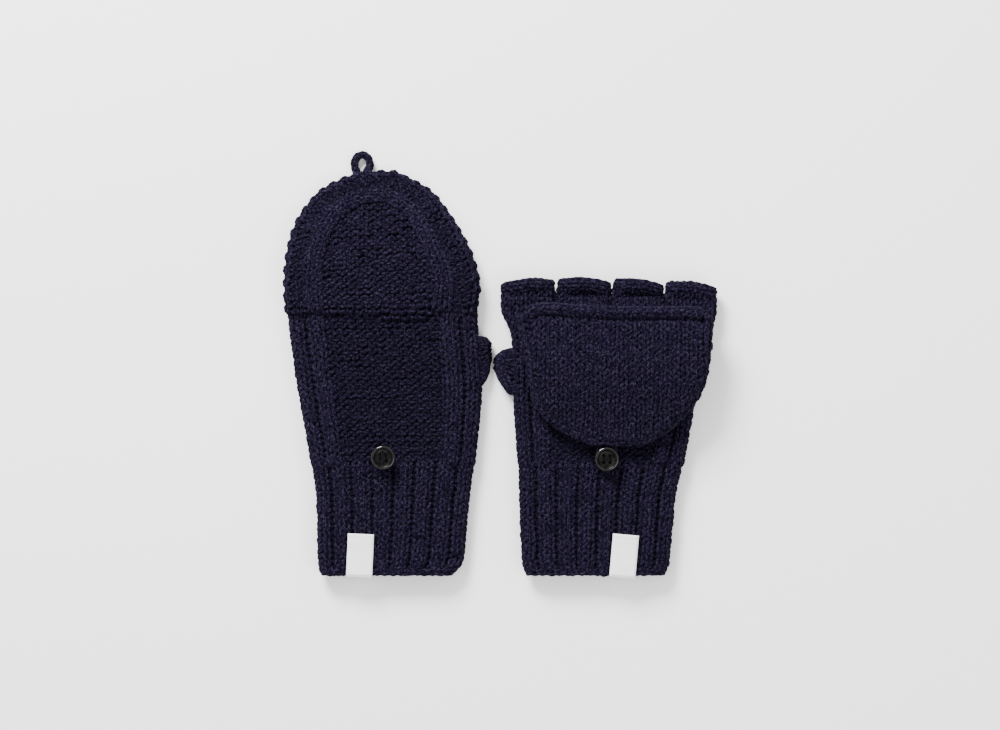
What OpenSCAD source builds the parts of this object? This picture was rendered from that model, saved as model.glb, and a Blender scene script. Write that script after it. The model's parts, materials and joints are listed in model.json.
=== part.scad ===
// Convertible flip-top mittens: a knitted pair lying flat, palms down, fingers along +Y.
// The left mitten has its cap closed, and the right one has its cap flipped back and buttoned.

/* [Knit] */
// Thickness of a mitten pressed flat
flat_h = 14; // [13:0.5:18]
// Thickness of the knit in the cuff
cuff_wall = 3; // [2:0.1:3.4]
// Thickness of the knit in the hand and cap
wall = 2.6; // [2:0.1:3]
// Thickness of the knit in the finger sleeves
finger_wall = 2.4; // [1.8:0.1:2.8]

/* [Lengths] */
// Open end of the cuffs
cuff_y = -127; // [-135:0.5:-110]
// Line where the ribbed cuff meets the hand
wrist_y = -60.5; // [-70:0.5:-50]
// Fold line of the cap across the back of the hand
seam_y = 30; // [28:0.5:32]
// Tip of the closed left cap
left_tip_y = 116.6; // [114:0.2:117]
// Tip of the right cap, measured as if it was closed
right_tip_y = 109.4; // [108:0.2:109.5]
// How far the finger sleeves stand out past the fold line
finger_len = 22.4; // [16:0.2:24]

/* [Fold line] */
// Radius of the sewn fold
fold_r = 1.5; // [1.2:0.05:1.6]
// Clearance between the fold and the cap's first row
fold_gap = 0.3; // [0.2:0.05:0.6]
// Height of the closed cap
cap_h = 16.1; // [15.8:0.1:16.4]

/* [Lip] */
// Width of the rolled lip
roll_w = 7.1; // [5:0.1:7.1]
// Thickness of the rolled lip
roll_h = 3; // [2.4:0.1:3.1]
// How far the stretchy part of the palm side reaches past the fold line
lip_len = 26; // [25:0.5:30]

/* [Button] */
// Radius of a button
button_r = 7.25; // [6:0.25:7.25]
// Thickness of a button
button_t = 2.6; // [2:0.1:2.6]
// Height of the raised rim
rim_h = 0.5; // [0.2:0.1:0.8]
// Distance of a hole from the button's middle
hole_off = 1.9; // [1.6:0.1:2.4]
// Radius of a hole
hole_r = 0.95; // [0.8:0.05:1.1]
// Radius of the sewing thread in a hole
thread_r = 0.8; // [0.5:0.05:0.8]
// Radius of the thread shank
shank_r = 1.6; // [1:0.1:1.8]
// Length of the thread shank
shank_len = 4.9; // [4.7:0.1:5.2]

/* [Button loop] */
// Radius of the loop's cord
loop_r = 2; // [1.5:0.1:2.2]
// Half of the width across the loop's cord centres
loop_half = 4.95; // [4.5:0.05:5.5]

/* [Thumb] */
// Thickness of the folded thumb sleeve
thumb_t = 5.6; // [5:0.1:5.8]
// Length of the thumb sleeve from its fold
thumb_len = 48; // [40:1:50]
// Width of the thumb sleeve
thumb_w = 30; // [26:1:31]

/* [Label] */
// Width of a label
label_w = 15.6; // [12:0.2:18]
// Length of a label's outer leaf
label_len = 26; // [20:0.5:30]
// Thickness of the label tape
label_t = 0.6; // [0.4:0.05:0.7]

/* [Detail] */
// Steps round half of a knitted section
steps = 14; // [10:2:20]
// Facets of round parts
round_fn = 40; // [24:4:64]

/* [Hidden] */
navy = "midnightblue";
L = 0;
R = 1;
axis_z = flat_h + fold_r + 0.05;
cap_y = seam_y + fold_r + fold_gap;
finger_y = seam_y + 0.2;
lip_y = seam_y + lip_len;
lift = 3.5;
thumb_lift = thumb_t + 0.5;
side = [1, -1];
button_at = [[-69.9, -55.9], [63.8, -56.8]];
label_at = [[-84.4, -2.5], [73.2, -5]];
thumb_x = [-8.6, -0.5];
thumb_y = [2.5, -4.5];
thumb_root = 25;
label_y = [for (a = label_at) cuff_y - label_t - 0.1 - label_w / 2 * sin(abs(a[1]))];
left_loop_x = -83.3;
left_loop_top = 128.2;
left_loop_axis = 119.1;

// Edges of each hand seen from above: y, left x, right x
hand_edges = [
    [[-127.5, -106, -34], [-124, -109, -26], [-118, -110, -21], [-82, -110.2, -18.3],
     [-56, -113.7, -14.5], [-14, -121.5, -10.8], [30, -127.4, -14]],
    [[-127.5, 17, 97], [-124, 14, 101], [-118, 12.6, 102.5], [-80, 11.2, 105.3],
     [-52, 10.5, 112], [-25, 8.4, 116.2], [12, 7.8, 126.4], [30, 5, 128.2]]
];
// Edges of each closed cap: y, left x, right x
cap_edges = [
    [[32, -128.5, -13.8], [46, -130.2, -11.4], [60, -129, -14], [74, -127.2, -19.8],
     [85, -123.4, -26.4], [94, -118, -32.5], [103, -111, -38.8], [108, -104.4, -45],
     [112.5, -94.5, -54], [115.4, -86, -63], [117, -76, -70]],
    [[32, 10, 127.2], [54, 14.2, 126], [62, 15.6, 122.4], [80, 18.5, 116.4],
     [89, 22, 111.4], [98, 31.4, 104.8], [104, 41, 96.4], [107.4, 51, 88.6], [109.5, 61.5, 79.5]]
];
// Finger sleeves from the little finger's side to the thumb's side: x of the edges between them
finger_edges = [
    [-122.6, -97.4, -71.2, -45, -19],
    [130.2, 98.5, 67.1, 33.6, 0.4]
];
function ramp(t) = t <= 0 ? 0 : t >= 1 ? 1 : t * t * (3 - 2 * t);
function column(rows, k) = [for (r = rows) [r[0], r[k]]];
function smooth_at(rows, k, y, w) =
    let (c = column(rows, k))
    (lookup(y - w, c) + 2 * lookup(y, c) + lookup(y + w, c)) / 4;
function arch(c, n) = pow(max(0, 1 - pow(abs(c), n)), 1 / n);

// Underside of the palm: it rises over the folded thumb and over the cap's lip
function palm_low(s, x, y) =
    let (over_thumb = ramp((side[s] * (x - thumb_x[s]) + thumb_len + 9) / 8)
        * ramp((y - thumb_y[s] + thumb_w / 2 + 9) / 7) * ramp((thumb_y[s] + thumb_w / 2 + 8 - y) / 6))
    max(thumb_lift * over_thumb, lift * ramp((y - 13) / 7));
function cap_top(s, y) = s == L ? cap_h - 7.1 * ramp((y - 56) / 51) - 2 * ramp((y - 108) / 10) : cap_h;
function cap_low(s, y) = s == R ? 9 * ramp((y - 58) / 52) : 0;

// Half of a flattened knitted tube, as rings of points along Y
module panel(rows, up, y_list, wall_t, tip, s, kind, steps = steps) {
    n = kind == "cap" ? 6 : 4;
    rings = [for (y = y_list)
        let (a = smooth_at(rows, 1, y, 3), b = smooth_at(rows, 2, y, 3))
        let (xc = (a + b) / 2, hw = (b - a) / 2)
        let (lo = kind == "cap" ? cap_low(s, y) : 0, hi = kind == "cap" ? cap_top(s, y) : flat_h)
        let (mid = (lo + hi) / 2, shut = 1 - 0.98 * ramp((y - tip + 9) / 5))
        concat(
            [for (i = [0:steps])
                let (c = cos(180 * i / steps), x = xc - hw * c, q = arch(c, n))
                let (low = kind == "palm" ? palm_low(s, x, y) : lo)
                [x, y, up ? mid + (hi - mid) * q : mid - (mid - low) * q]],
            [for (i = [steps:-1:0])
                let (c = cos(180 * i / steps), x = xc - (hw - wall_t) * c, q = arch(c, n))
                let (low = kind == "palm" ? palm_low(s, x, y) : lo)
                let (h = up ? hi - mid - wall_t : mid - low - wall_t)
                [x, y, mid + (up ? 1 : -1) * h * q * (kind == "cap" ? shut : 1)]])];
    loft(rings, up ? 1 : -1, true);
}

// Solid through closed rings of equal length; a crescent's ends are filled in strips
module loft(rings, turn, crescent = false) {
    m = len(rings[0]);
    last = (len(rings) - 1) * m;
    sides = [for (j = [0:m:last - m]) for (i = [0:m - 1])
        let (a = j + i, b = j + (i + 1) % m)
        each [[a, b, b + m], [a, b + m, a + m]]];
    fill = crescent ? [for (i = [0:m / 2 - 2]) [i, i + 1, m - 2 - i, m - 1 - i]] : [[for (i = [0:m - 1]) i]];
    faces = concat(sides, [for (f = fill) reverse(f)], [for (f = fill) [for (i = f) i + last]]);
    polyhedron(points = [for (r = rings) each r], faces = turn > 0 ? faces : [for (f = faces) reverse(f)]);
}
function reverse(v) = [for (i = [len(v) - 1:-1:0]) v[i]];

// Flattened open tube along Y: the cuff and the finger sleeves
module tube(y_list, edge_of, z_lo, z_hi, wall_t, count, n) {
    difference() {
        loft([for (y = y_list) oval(y, edge_of(y), z_lo, z_hi, 0, count, n)], -1);
        loft([for (y = y_list)
            let (out = y == y_list[0] ? -1 : y == y_list[len(y_list) - 1] ? 1 : 0)
            oval(y + out, edge_of(y), z_lo, z_hi, wall_t, count, n)], -1);
    }
}
function oval(y, e, z_lo, z_hi, t_wall, count, n) =
    let (xc = (e[0] + e[1]) / 2, hw = (e[1] - e[0]) / 2 - t_wall)
    let (zc = (z_lo + z_hi) / 2, hh = (z_hi - z_lo) / 2 - t_wall)
    [for (i = [0:count - 1])
        let (t = 360 * i / count)
        [xc - hw * cos(t), y, zc + hh * sign(sin(t)) * arch(cos(t), n)]];

module cuff(s) {
    color(navy)
        tube([cuff_y, cuff_y + 3, cuff_y + 9, -100, -78, wrist_y],
            function (y) [smooth_at(hand_edges[s], 1, y, 2), smooth_at(hand_edges[s], 2, y, 2)],
            0, flat_h, cuff_wall, 2 * steps, 4);
}

module hand_back(s) {
    color(navy) panel(hand_edges[s], true, [wrist_y, -45, -30, -15, 0, 15, seam_y], wall, 999, s, "back");
}

module hand_palm(s) {
    color(navy)
        panel(hand_edges[s], false, [wrist_y, -44, -32, -26, -20, -14, 0, 12, 17, 21, 25, seam_y],
            wall, 999, s, "palm", 2 * steps - 4);
}

module finger(s, i) {
    a = finger_edges[s][s == L ? i : i + 1];
    b = finger_edges[s][s == L ? i + 1 : i];
    top = finger_y + finger_len - 0.2 - (i == 0 ? 1.6 : 0);
    color(navy)
        tube([finger_y, top - 8, top - 3, top - 1, top],
            function (y) let (r = 3.2 * pow(ramp((y - top + 8) / 8), 2)) [a + 0.1 + r, b - 0.1 - r],
            lift + 0.1, flat_h - 1.1, finger_wall, 20, 3);
}

// The thumb sleeve, folded flat under the palm on a rolled root
module thumb(s) {
    d = -side[s];
    z = thumb_t / 2 + 0.1;
    at = [0, 6, 14, 24, 34, 41, 45, 47.2, 48] * thumb_len / 48;
    part_w = [0.8, 0.93, 1, 0.98, 0.93, 0.8, 0.6, 0.38, 0.14] * thumb_w / 2;
    color(navy)
        translate([thumb_x[s], thumb_y[s], 0]) {
            loft([for (i = [0:len(at) - 1])
                let (w = part_w[i], h = thumb_t / 2 * (1 - 0.5 * ramp((at[i] - 38) / 12)))
                [for (k = [0:19])
                    [d * at[i], w * cos(18 * k), z + h * sign(sin(18 * k)) * arch(cos(18 * k), 3)]]], -d);
            translate([0, thumb_root / 2, z])
                rotate([90, 0, 0])
                    cylinder(r = thumb_t / 2 + 0.1, h = thumb_root, $fn = round_fn);
        }
}

module cap_seam(s) {
    e = [smooth_at(hand_edges[s], 1, seam_y, 0) + 6, smooth_at(hand_edges[s], 2, seam_y, 0) - 6];
    color(navy)
        translate([e[0], seam_y, axis_z])
            rotate([0, 90, 0])
                cylinder(r = fold_r, h = e[1] - e[0], $fn = round_fn);
}

// Puts what is drawn on the closed right cap where the flipped cap lies
module flipped(s) {
    translate([0, seam_y, axis_z])
        rotate([s == R ? 180 : 0, 0, 0])
            translate([0, -seam_y, -axis_z])
                children();
}

function tip(s) = s == L ? left_tip_y : right_tip_y;
function rounded_tip(s) = [for (d = [19, 13, 8.6, 5, 2.4, 0.8, 0]) tip(s) - d];

module cap_back(s) {
    color(navy)
        flipped(s)
            panel(cap_edges[s], true, concat([cap_y, 40, 48, 58, 68, 78, 88], rounded_tip(s)),
                wall, tip(s), s, "cap");
}

module cap_palm(s) {
    color(navy)
        flipped(s)
            panel(cap_edges[s], false, concat([lip_y, 66, 77, 88], rounded_tip(s)), wall, tip(s), s, "cap");
}

module cap_lip(s) {
    color(navy)
        flipped(s)
            panel(cap_edges[s], false, [cap_y, 40, 48, lip_y], wall, tip(s), s, "cap");
}

module cap_roll(s) {
    e = [smooth_at(cap_edges[s], 1, cap_y, 0) + 5, smooth_at(cap_edges[s], 2, cap_y, 0) - 5];
    r = roll_h / 2;
    color(navy)
        flipped(s)
            translate([e[0], cap_y - 0.1 - roll_w / 2, r])
                rotate([90, 0, 90])
                    linear_extrude(e[1] - e[0]) {
                        for (d = [-1, 1])
                            translate([d * (roll_w / 2 - r), 0])
                                circle(r = r, $fn = round_fn);
                        square([roll_w - 2 * r, roll_h], center = true);
                    }
}

// A loop of cord, lying in the XY plane with its legs towards -Y
module cord_loop(leg, r, ball) {
    rotate_extrude(angle = 180, $fn = 2 * round_fn)
        translate([loop_half, 0])
            circle(r = r, $fn = round_fn);
    for (x = [-loop_half, loop_half])
        translate([x, 0, 0]) {
            rotate([90, 0, 0])
                cylinder(r = r, h = leg, $fn = round_fn);
            if (ball)
                translate([0, -leg, 0])
                    sphere(r = r, $fn = round_fn);
        }
}

module button_loop(s) {
    r = s == L ? 2.2 : loop_r;
    y = left_loop_top - r - loop_half;
    color(navy)
        if (s == L)
            translate([left_loop_x, y, r])
                cord_loop(y - left_loop_axis, r, true);
        else
            translate([button_at[R][0], button_at[R][1] - 0.4, flat_h + 0.3 + r])
                rotate([0, 0, 180])
                    cord_loop(2 * seam_y - right_tip_y - button_at[R][1] + 0.2, r, false);
}

function button_z() = flat_h + 0.1 + shank_len;

module button(s) {
    color("black")
        translate([button_at[s][0], button_at[s][1], button_z()])
            difference() {
                rotate_extrude($fn = 2 * round_fn)
                    polygon([[0, 0], [button_r - 1, 0], [button_r, 0.9], [button_r, button_t - 0.5],
                        [button_r - 0.5, button_t], [button_r - 1.6, button_t],
                        [button_r - 2.4, button_t - rim_h], [0, button_t - rim_h]]);
                for (x = [-hole_off, hole_off], y = [-hole_off, hole_off])
                    translate([x, y, -1])
                        cylinder(r = hole_r, h = button_t + 2, $fn = 24);
            }
}

// Sewing thread: two bars over the button, four strands through it and the wound shank below
module button_thread(s) {
    top = button_z() + button_t - rim_h + thread_r + 0.05;
    color("black")
        translate([button_at[s][0], button_at[s][1], 0]) {
            translate([0, 0, flat_h + 0.1])
                cylinder(r = shank_r, h = shank_len - 0.3, $fn = round_fn);
            translate([0, 0, button_z() - 0.5])
                cylinder(r = hole_off * 1.45 + thread_r, h = 0.45, $fn = round_fn);
            for (x = [-hole_off, hole_off]) {
                for (y = [-hole_off, hole_off])
                    translate([x, y, button_z() - 0.3])
                        cylinder(r = thread_r, h = top - button_z() + 0.3, $fn = 24);
                translate([x, hole_off + 0.3, top])
                    rotate([90, 0, 0])
                        cylinder(r = thread_r, h = 2 * hole_off + 0.6, $fn = 24);
            }
        }
}

// Woven tape folded round the open edge of the cuff's back
module label(s) {
    gap = 0.1;
    sag = 0.9;
    high = cuff_wall + 2 * gap + sag;
    color("white")
        translate([label_at[s][0], label_y[s], 0])
            rotate([0, 0, label_at[s][1]])
                translate([-label_w / 2, 0, flat_h + gap - high])
                    difference() {
                        translate([0, 0, -label_t])
                            cube([label_w, label_len, high + 2 * label_t]);
                        translate([-1, label_t, 0])
                            cube([label_w + 2, label_len, high]);
                    }
}

module label_stitches(s) {
    z = flat_h + 0.1 + label_t + 0.32;
    count = 6;
    color("gray")
        translate([label_at[s][0], label_y[s], 0])
            rotate([0, 0, label_at[s][1]])
                for (k = [0:count - 1], y = [1.6, label_len - 1.6])
                    translate([(k + 0.5) * (label_w - 2) / count - label_w / 2 + 1 - 0.8, y, z])
                        rotate([0, 90, 0])
                            cylinder(r = 0.3, h = 1.6, $fn = 16);
}

cuff(L);  // left_cuff
hand_back(L);  // left_hand_back
hand_palm(L);  // left_hand_palm
thumb(L);  // left_thumb
finger(L, 0);  // left_finger_little
finger(L, 1);  // left_finger_ring
finger(L, 2);  // left_finger_middle
finger(L, 3);  // left_finger_index
cap_seam(L);  // left_cap_seam
cap_back(L);  // left_cap_back
cap_palm(L);  // left_cap_palm
cap_lip(L);  // left_cap_lip
cap_roll(L);  // left_cap_roll
button_loop(L);  // left_button_loop
button(L);  // left_button
button_thread(L);  // left_button_thread
label(L);  // left_label
label_stitches(L);  // left_label_stitches
cuff(R);  // right_cuff
hand_back(R);  // right_hand_back
hand_palm(R);  // right_hand_palm
thumb(R);  // right_thumb
finger(R, 0);  // right_finger_little
finger(R, 1);  // right_finger_ring
finger(R, 2);  // right_finger_middle
finger(R, 3);  // right_finger_index
cap_seam(R);  // right_cap_seam
cap_back(R);  // right_cap_back
cap_palm(R);  // right_cap_palm
cap_lip(R);  // right_cap_lip
cap_roll(R);  // right_cap_roll
button_loop(R);  // right_button_loop
button(R);  // right_button
button_thread(R);  // right_button_thread
label(R);  // right_label
label_stitches(R);  // right_label_stitches
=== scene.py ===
import json
import math

import bmesh
import bpy
import numpy as np
from mathutils import Matrix, Vector


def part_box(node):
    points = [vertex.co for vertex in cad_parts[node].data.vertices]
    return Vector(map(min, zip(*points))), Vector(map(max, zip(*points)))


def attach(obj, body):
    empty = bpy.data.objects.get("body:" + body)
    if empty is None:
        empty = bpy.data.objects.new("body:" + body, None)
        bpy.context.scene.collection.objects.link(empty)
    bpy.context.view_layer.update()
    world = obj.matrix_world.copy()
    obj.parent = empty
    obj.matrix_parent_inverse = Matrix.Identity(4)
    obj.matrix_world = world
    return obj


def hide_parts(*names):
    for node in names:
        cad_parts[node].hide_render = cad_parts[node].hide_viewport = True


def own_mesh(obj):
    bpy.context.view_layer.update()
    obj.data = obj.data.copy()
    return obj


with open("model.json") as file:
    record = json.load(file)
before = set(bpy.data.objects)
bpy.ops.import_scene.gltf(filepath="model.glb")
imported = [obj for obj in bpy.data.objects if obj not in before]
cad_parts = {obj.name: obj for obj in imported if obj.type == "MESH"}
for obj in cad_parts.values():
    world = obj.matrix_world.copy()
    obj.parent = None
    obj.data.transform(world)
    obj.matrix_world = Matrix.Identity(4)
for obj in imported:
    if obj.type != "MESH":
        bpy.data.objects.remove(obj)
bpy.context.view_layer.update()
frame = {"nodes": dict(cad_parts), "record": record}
record = frame["record"]


# The table top. A wide matt white board that the pair lies on, lit by a large soft lamp
# from the fingertip side, a weaker one from the wrist side and an even white room,
# with the camera looking straight down on it.
VIEW_WIDTH = 0.600
CAMERA_HEIGHT = 2.2
KNIT_HEIGHT = 0.010
SENSOR = 36
AIM_Y = -0.0006
BOARD = 3.0
BOARD_WHITE = 0.97
ROOM_LIGHT = 1.30

camera = bpy.data.objects.new("camera", bpy.data.cameras.new("camera"))
camera.location = (0, AIM_Y, CAMERA_HEIGHT)
camera.data.sensor_width = SENSOR
camera.data.lens = SENSOR * (CAMERA_HEIGHT - KNIT_HEIGHT) / VIEW_WIDTH
camera.data.clip_end = 10
bpy.context.scene.collection.objects.link(camera)
bpy.context.scene.camera = camera


def hang_lamp(name, place, width, watts):
    """A square softbox that faces the middle of the table"""
    lamp = bpy.data.objects.new(name, bpy.data.lights.new(name, "AREA"))
    lamp.data.shape = "SQUARE"
    lamp.data.size = width
    lamp.data.energy = watts
    lamp.location = place
    lamp.rotation_euler = (-Vector(place)).to_track_quat("-Z", "Y").to_euler()
    bpy.context.scene.collection.objects.link(lamp)


hang_lamp("fingertip_softbox", (-0.55, 1.15, 0.95), 0.6, 78)
hang_lamp("wrist_softbox", (0.9, -0.7, 1.3), 1.0, 14)
room = bpy.data.worlds.new("white_room")
bpy.context.scene.world = room
room.use_nodes = True
sky = room.node_tree.nodes["Background"].inputs
sky["Color"].default_value = (1, 1, 1, 1)
sky["Strength"].default_value = ROOM_LIGHT

board_mesh = bpy.data.meshes.new("table_top")
board_mesh.from_pydata(
    [(-BOARD, -BOARD, 0), (BOARD, -BOARD, 0), (BOARD, BOARD, 0), (-BOARD, BOARD, 0)],
    [], [(0, 1, 2, 3)])
board = bpy.data.objects.new("table_top", board_mesh)
bpy.context.scene.collection.objects.link(board)
paint = bpy.data.materials.new("white_board")
paint.use_nodes = True
matt = paint.node_tree.nodes["Principled BSDF"].inputs
matt["Base Color"].default_value = (BOARD_WHITE, BOARD_WHITE, BOARD_WHITE, 1)
matt["Roughness"].default_value = 0.8
board_mesh.materials.append(paint)


# The cuffs. Each is a tube of thick navy wool in a wide rib, two plain columns and one
# purl column by turns, knitted on from a rolled cast-on edge and drawn in at the wrist.
YARN_RADIUS = 0.00118
YARN_DEPTH = 0.00075
CUFF_ROWS = 19
CUFF_INSET = 0.0026
CUFF_START, CUFF_END = 0.0022, 0.0010
CORNER_ROUNDING = 0.22
RIM_RADIUS = 0.0012
RIM_STITCH = 0.0046
TUBE_SQUARE = 4
RIB_GROOVE = 0.42
GROOVE_DEPTH = 0.0021
NARROW = 0.6
FLAT_PART = 0.36
PINCH = 0.22
LOOP_REACH = 0.80
PURL_SLANT = 0.05
STITCH_DRIFT, ROW_DRIFT, LIFT_DRIFT, GIRTH_DRIFT = 0.05, 0.10, 0.00015, 0.07
# How far the dark sheet of painted shade sits behind the yarn, in yarn radii
SHADE_SHEET_SINK = 0.45
PLY_PITCH = 0.0036
FIBRE_RADIUS = 0.00006
FIBRE_LENGTH = 0.007

chance = np.random.default_rng(11)


class Link:
    """A shader socket that can stand in a sum"""

    def __init__(self, finish, socket):
        self.finish = finish
        self.socket = socket

    def maths(self, operation, *others):
        return self.finish.node("Math", {"operation": operation}, [self, *others])

    def __add__(self, other):
        return self.maths("ADD", other)

    __radd__ = __add__

    def __mul__(self, other):
        return self.maths("MULTIPLY", other)

    __rmul__ = __mul__

    def __sub__(self, other):
        return self.maths("SUBTRACT", other)

    def __rsub__(self, other):
        return self.finish.node("Math", {"operation": "SUBTRACT"}, [other, self])

    def __truediv__(self, other):
        return self.maths("DIVIDE", other)

    def __pow__(self, other):
        return self.maths("POWER", other)


class Finish:
    """One material of the mittens"""

    def __init__(self, name, roughness, **fixed):
        self.material = bpy.data.materials.new(name)
        self.material.use_nodes = True
        self.tree = self.material.node_tree
        self.shader = self.tree.nodes["Principled BSDF"]
        self.set("Roughness", roughness)
        for key, value in fixed.items():
            self.set(key.replace("_", " "), value)

    def plug(self, socket, value):
        if isinstance(value, Link):
            self.tree.links.new(value.socket, socket)
        elif value is not None:
            socket.default_value = value

    def set(self, key, value):
        self.plug(self.shader.inputs[key], value)

    def node(self, kind, settings, sockets, output=0):
        made = self.tree.nodes.new("ShaderNode" + kind)
        for key, value in settings.items():
            if key == "stops":
                while len(made.color_ramp.elements) < len(value):
                    made.color_ramp.elements.new(0.5)
                for stop, (place, colour) in zip(made.color_ramp.elements, value):
                    stop.position = place
                    stop.color = (*colour, 1)
            else:
                setattr(made, key, value)
        pairs = sockets.items() if isinstance(sockets, dict) else enumerate(sockets)
        for key, value in pairs:
            self.plug(made.inputs[key], value)
        return Link(self, made.outputs[output])

    def chart(self, name):
        """Both numbers of a UV map. That of yarn is metres along the strand, and turns round it"""
        split = self.node("SeparateXYZ", {}, [self.node("UVMap", {"uv_map": name}, {})])
        return split, Link(self, split.socket.node.outputs[1])

    def mix(self, share, low, high):
        """low where share is 0 and high where it is 1, both colours"""
        low, high = (v if isinstance(v, Link) else (*v, 1) for v in (low, high))
        return self.node("Mix", {"data_type": "RGBA"}, {0: share, 6: low, 7: high}, 2)

    def stretch(self, value, low, high):
        """0 at low and 1 at high, clamped"""
        return self.node("MapRange", {}, {0: value, 1: low, 2: high})

    def bump(self, height, strength, distance):
        self.set("Normal", self.node(
            "Bump", {}, {"Strength": strength, "Distance": distance, "Height": height}))


def dye_wool():
    """Three-ply navy wool: painted shade between the stitches, under each strand and in the
    grooves between the plies, a little blue and violet heather, pale flecks painted as
    highlights on the fuzz, dark flecks of painted shade, and loose fibres painted pale as a
    highlight where they would catch the light"""
    wool = Finish("navy_wool", 0.95, Sheen_Weight=0.02, Sheen_Roughness=0.4,
                  Sheen_Tint=(0.5, 0.46, 0.8, 1), Specular_IOR_Level=0.06)
    along, around = wool.chart("yarn")
    # The depth map is the strand's height in the cloth, 0 deep to 1 on top and 2 on loose fibres;
    # it sets the painted shade and highlight
    depth, _ = wool.chart("depth")
    twist = along / PLY_PITCH + around * 3
    ply = (twist * math.pi).maths("SINE").maths("ABSOLUTE")
    strand = wool.node("CombineXYZ", {}, [along * 420, twist * 5, around * 3])
    fibre = wool.node("TexNoise", {}, {"Vector": strand, "Scale": 1.0, "Detail": 3.0})
    place = wool.node("TexCoord", {}, {}, 3)
    cloud = wool.node("TexNoise", {}, {"Vector": place, "Scale": 75.0, "Detail": 2.0})
    spot = wool.node("TexNoise", {}, {"Vector": place, "Scale": 800.0, "Detail": 3.0})
    heather = wool.node("ValToRGB", {"stops": [
        (0.32, (0.0028, 0.0009, 0.0082)), (0.46, (0.0020, 0.0009, 0.0070)),
        (0.62, (0.0018, 0.0011, 0.0070)), (0.78, (0.0016, 0.0022, 0.0070))]}, [cloud])
    # Painted highlight: pale flecks from fine noise, where the fuzz would catch the light
    lit = wool.mix(wool.stretch(spot, 0.49, 0.68) * 0.85, heather, (0.0235, 0.0178, 0.0385))
    # Pale streaks along the strand: partly paler fibres in the yarn, partly painted highlight
    lit = wool.mix(wool.stretch(fibre, 0.50, 0.74) * 0.70, lit, (0.0225, 0.0172, 0.0360))
    # Painted shade: dark flecks from the same fine noise, for shadow among the fibres
    lit = wool.mix(wool.stretch(spot, 0.46, 0.34) * 0.9, lit, (0.0003, 0.0002, 0.0024))
    # Painted shade: darker where the strand lies deep in the cloth, between the stitches and on
    # the dark sheet behind them
    shade = wool.mix(wool.stretch(depth, 0.15, 0.95), (0.0001, 0.0001, 0.0020), lit)
    # Painted shade in the grooves between the plies
    shade = wool.mix(wool.stretch(ply, 0.0, 0.45) * 0.6 + 0.4, (0.0004, 0.0003, 0.0030), shade)
    # Painted highlight on the loose fibres
    loose = wool.stretch(depth, 1.4, 1.6)
    wool.set("Base Color", wool.mix(loose, shade, (0.055, 0.050, 0.085)))
    wool.bump(ply * 0.6 + fibre * 0.5 + spot * 0.5, 0.9, 0.0005)
    return wool.material


class Knitting:
    """Yarn of one piece and the dark sheet of painted shade behind it, gathered before they become
    its mesh
    """

    def __init__(self):
        self.points, self.faces, self.yarn, self.depth = [], [], [], []
        self.count = 0

    def cover(self, depth, faces, yarn):
        """Faces on the points that are added next, as an array of corner numbers, with a pair
        of yarn numbers for each corner of each face, and the depth of each point, which sets
        the painted shade and highlight of the wool"""
        self.faces.append(faces + self.count)
        self.yarn.append(yarn.reshape(-1, 2))
        self.depth.append(np.asarray(depth, float).ravel()[faces].ravel())

    def add(self, points, depth, faces, yarn):
        """Points and the faces on them"""
        self.cover(depth, faces, yarn)
        self.points.append(points.reshape(-1, 3))
        self.count += points.size // 3

    def tube(self, line, up, radius, sides, depth):
        """A closed round strand on a line of points, with its depth in the cloth at each, for
        painted shade
        """
        steps = len(line)
        tangent = unit(np.gradient(line, axis=0))
        aside = unit(np.cross(tangent, up))
        up = np.cross(aside, tangent)
        angle = 2 * math.pi * np.arange(sides) / sides
        spoke = (np.cos(angle)[None, :, None] * aside[:, None]
                 + np.sin(angle)[None, :, None] * up[:, None])
        ring = line[:, None] + spoke * np.broadcast_to(radius, steps)[:, None, None]
        number = np.arange(steps * sides).reshape(steps, sides)
        a, b = number[:-1], number[1:]
        quads = np.stack([a, b, np.roll(b, -1, 1), np.roll(a, -1, 1)], -1)
        run = run_of(line) + chance.random()
        share = np.arange(sides) / sides
        u = np.stack([run[:-1], run[1:], run[1:], run[:-1]], -1)[:, None].repeat(sides, 1)
        v = np.stack([share, share, share + 1 / sides, share + 1 / sides], -1)[None]
        # Painted shade: the depth is lower on the strand's underside than on its top
        height = np.asarray(depth)[:, None] + 0.3 * np.sin(angle)[None]
        self.cover(height, quads.reshape(-1, 4), np.stack([u, v.repeat(steps - 1, 0)], -1))
        ends = np.stack([number[0], number[-1][::-1]])
        flat = np.stack([np.full((2, sides), run[0]), np.tile(share, (2, 1))], -1)
        self.add(ring, height, ends, flat)

    def become(self, name, body, finish, slot, *nodes):
        """The finished piece, riding on its body in place of its CAD nodes"""
        mesh = bpy.data.meshes.new(name)
        points = np.concatenate(self.points)
        mesh.vertices.add(len(points))
        mesh.vertices.foreach_set("co", points.ravel())
        corners = np.concatenate([f.ravel() for f in self.faces])
        sizes = np.concatenate([np.full(len(f), f.shape[1]) for f in self.faces])
        mesh.loops.add(len(corners))
        mesh.loops.foreach_set("vertex_index", corners)
        mesh.polygons.add(len(sizes))
        mesh.polygons.foreach_set("loop_start", np.cumsum(sizes) - sizes)
        mesh.update(calc_edges=True)
        mesh.validate()
        mesh.shade_smooth()
        # The depth map carries the painted shade and highlight that the wool reads
        depth = np.concatenate(self.depth)
        for key, pairs in (("yarn", np.concatenate(self.yarn)),
                           ("depth", np.stack([depth, 0 * depth], -1))):
            mesh.uv_layers.new(name=key).data.foreach_set("uv", pairs.ravel())
        mesh.materials.append(finish)
        piece = bpy.data.objects.new(name, mesh)
        bpy.context.scene.collection.objects.link(piece)
        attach(piece, body)
        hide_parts(*nodes)
        return piece


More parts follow.
